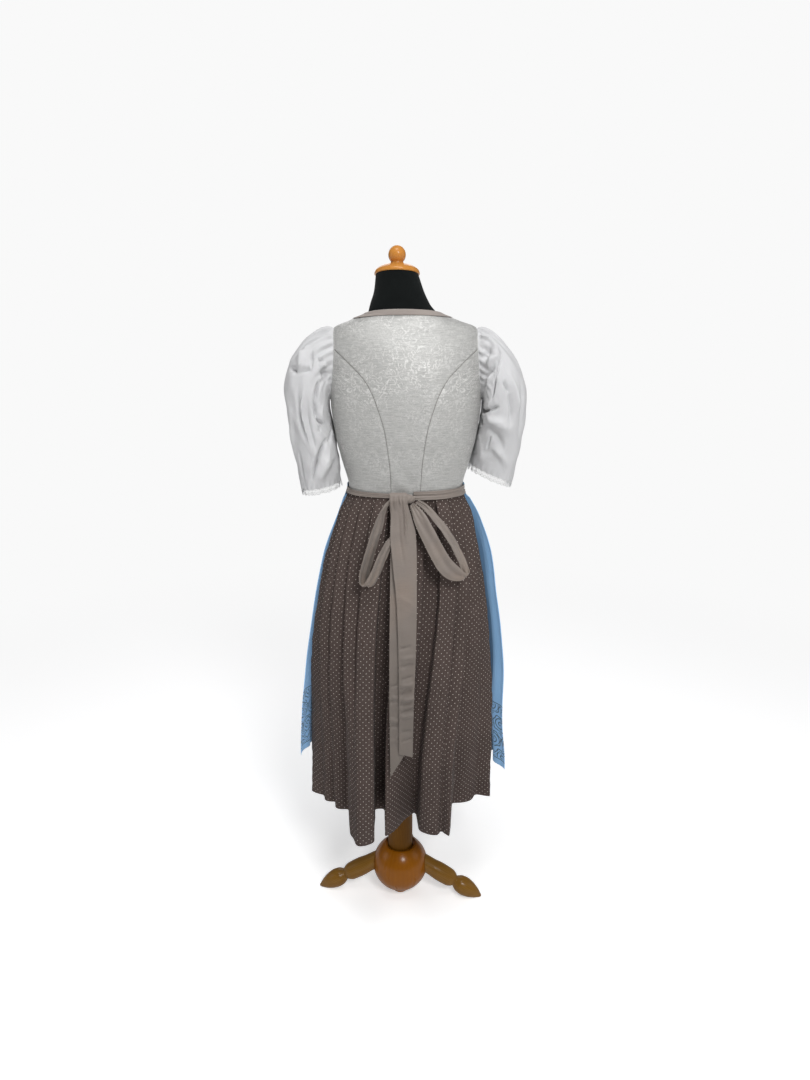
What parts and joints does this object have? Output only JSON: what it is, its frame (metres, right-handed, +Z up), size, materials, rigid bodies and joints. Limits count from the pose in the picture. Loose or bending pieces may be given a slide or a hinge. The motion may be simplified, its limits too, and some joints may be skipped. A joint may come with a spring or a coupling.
{
  "type": "dirndl dress on a dress form",
  "caption": "Dirndl dress with puff-sleeved blouse, pleated dotted skirt, apron and back bow, on a limbless dress form with a turned wooden stand.",
  "frame": {"origin": "on the floor, under the pole's axis, at the middle of the centre peg's flat underside", "axes": "+Z up, the garment's front faces -Y, the wearer's left side is +X"},
  "size_m": [0.5254, 0.4429, 1.5657],
  "materials": {
    "black_jersey": "matt knitted jersey stretched over the form",
    "honey_wood": "clear varnish",
    "amber_wood": "stained, clear varnish",
    "olive_wood": "clear varnish",
    "silver_jacquard": "tone-on-tone jacquard with a low sheen",
    "taupe_binding": "smooth bias binding",
    "white_cotton": "fine cotton, creased",
    "white_lace": "scalloped cotton lace",
    "brown_cotton": "plain cotton with small white dots",
    "blue_cotton": "smooth cotton with a dark printed border",
    "taupe_ribbon": "satin-like ribbon"
  },
  "bodies": {
    "root": {"form_torso": "black_jersey", "neck_cap": "honey_wood", "pole": "honey_wood", "centre_peg": "honey_wood", "base_ball": "amber_wood", "leg_left": "olive_wood", "leg_right": "olive_wood", "leg_front": "olive_wood", "bodice_back": "silver_jacquard", "side_back_left": "silver_jacquard", "side_back_right": "silver_jacquard", "front_left": "silver_jacquard", "front_right": "silver_jacquard", "neck_binding": "taupe_binding", "blouse_front": "white_cotton", "sleeve_left": "white_cotton", "sleeve_right": "white_cotton", "cuff_lace_left": "white_lace", "cuff_lace_right": "white_lace", "skirt_back": "brown_cotton", "skirt_front": "brown_cotton", "apron_panel": "blue_cotton", "apron_waistband": "blue_cotton", "tie_left": "taupe_ribbon", "tie_right": "taupe_ribbon", "bow_knot": "taupe_ribbon", "bow_loop_left": "taupe_ribbon", "bow_loop_right": "taupe_ribbon", "bow_tail_front": "taupe_ribbon", "bow_tail_back": "taupe_ribbon"}
  },
  "joints": []
}
